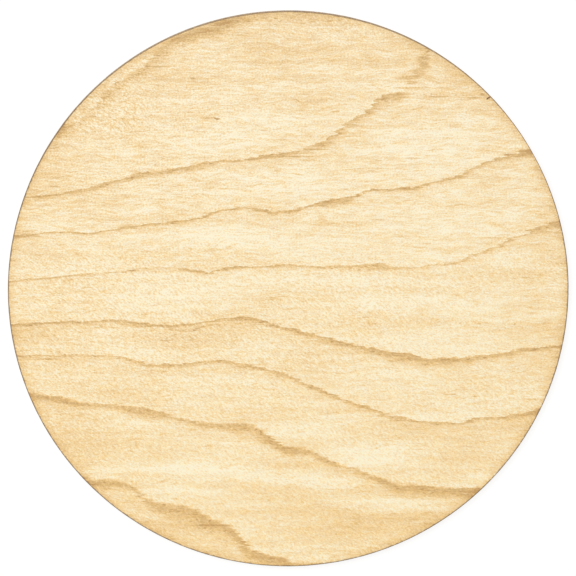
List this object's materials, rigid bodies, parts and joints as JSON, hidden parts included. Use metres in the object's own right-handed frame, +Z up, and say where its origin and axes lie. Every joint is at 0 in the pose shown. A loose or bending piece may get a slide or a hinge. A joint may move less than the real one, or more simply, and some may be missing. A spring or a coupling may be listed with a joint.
{
  "type": "birch wood slice",
  "caption": "Thin round birch slice with a sanded long-grain face, a scorched rim wall and a short burnt slit in its rim; lies flat as a blank, base or coaster.",
  "frame": {"origin": "centre of the underside, where the slice rests", "axes": "+Z is up through the thickness, towards the sanded show face; +X runs along the grain"},
  "size_m": [0.1, 0.1, 0.003],
  "materials": {
    "birch": "sanded and unfinished, with a scorched rim wall"
  },
  "bodies": {
    "root": {"birch_slice": "birch"}
  },
  "joints": []
}
